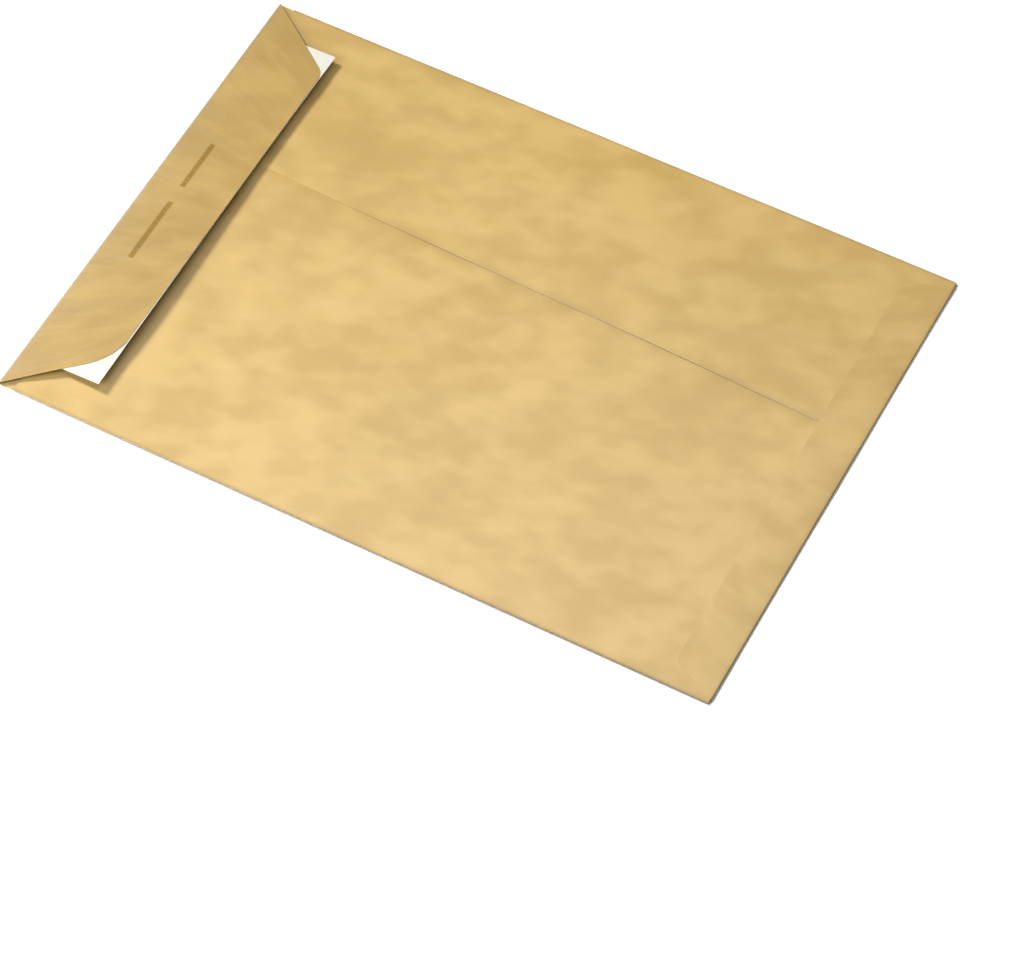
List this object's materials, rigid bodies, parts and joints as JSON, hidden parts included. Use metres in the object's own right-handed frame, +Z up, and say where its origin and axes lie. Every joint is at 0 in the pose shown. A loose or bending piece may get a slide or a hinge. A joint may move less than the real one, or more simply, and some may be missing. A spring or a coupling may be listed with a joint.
{
  "type": "paper envelope",
  "caption": "Flat brown kraft pocket envelope lying on its front, with a back seam, a folded peel-and-seal flap with white liner, and a film address window underneath.",
  "frame": {"origin": "middle of the front face, which the envelope lies on", "axes": "+X from the flap's fold to the closed bottom, +Y across, towards the side that the window is nearer, +Z up out of the back"},
  "size_m": [0.353, 0.25, 0.0041],
  "materials": {
    "kraft_paper": "matt brown kraft",
    "clear_film": "clear thin film",
    "adhesive": "tacky hot melt",
    "liner_paper": "white silicone paper"
  },
  "bodies": {
    "root": {"kraft_sheet": "kraft_paper", "window_film": "clear_film", "adhesive_strip": "adhesive", "release_liner": "liner_paper"}
  },
  "joints": []
}
